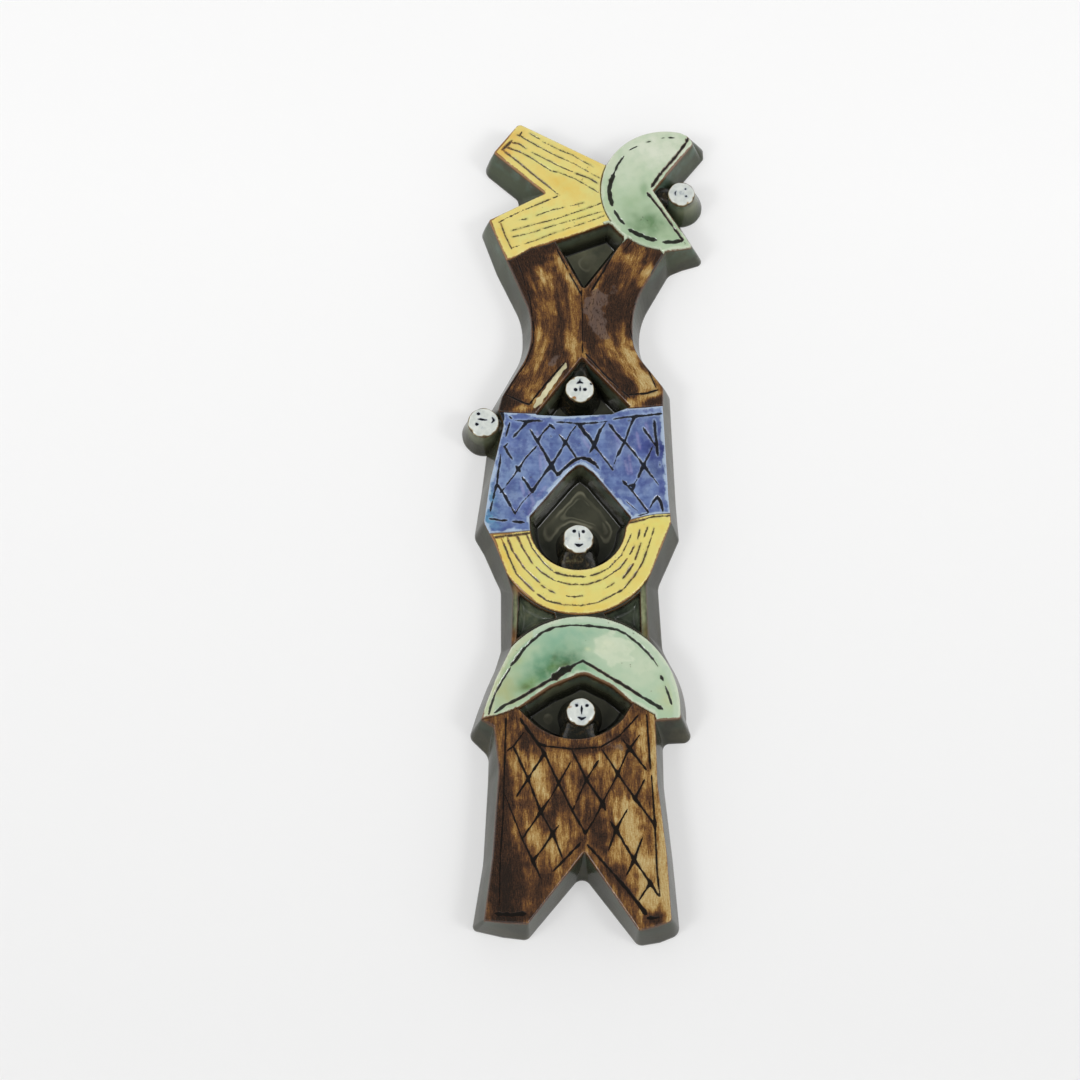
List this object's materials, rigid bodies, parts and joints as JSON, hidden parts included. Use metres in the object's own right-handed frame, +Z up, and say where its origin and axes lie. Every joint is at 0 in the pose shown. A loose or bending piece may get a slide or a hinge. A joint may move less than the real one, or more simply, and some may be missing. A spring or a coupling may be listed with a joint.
{
  "type": "decorative wall plaque",
  "caption": "Tall narrow wall plaque of carved stoneware with glazed fields, raised crescents, deep windows and small round-faced pegs; hangs flat on a wall.",
  "frame": {"origin": "on the flat back, behind the waist of the crossed limbs, where the plaque is fixed to the wall", "axes": "+Z up along the plaque, +Y out of the flat back into the wall, +X to the right as seen from the front"},
  "size_m": [0.1494, 0.0209, 0.5051],
  "materials": {
    "slate_glaze": "dark slate to olive stoneware glaze, glossy in the windows and satin on the sides",
    "yellow_glaze": "warm yellow glaze with dark broken inlaid lines",
    "celadon_glaze": "pale green glaze pooling to turquoise, with black inlaid lines",
    "brown_glaze": "brushed brown and ochre glaze with dark inlaid lines",
    "blue_glaze": "cobalt blue glaze with pale edges and a black inlaid lattice",
    "white_glaze": "glossy white glaze with small painted dots and strokes"
  },
  "bodies": {
    "root": {"plaque": "slate_glaze"}
  },
  "joints": []
}
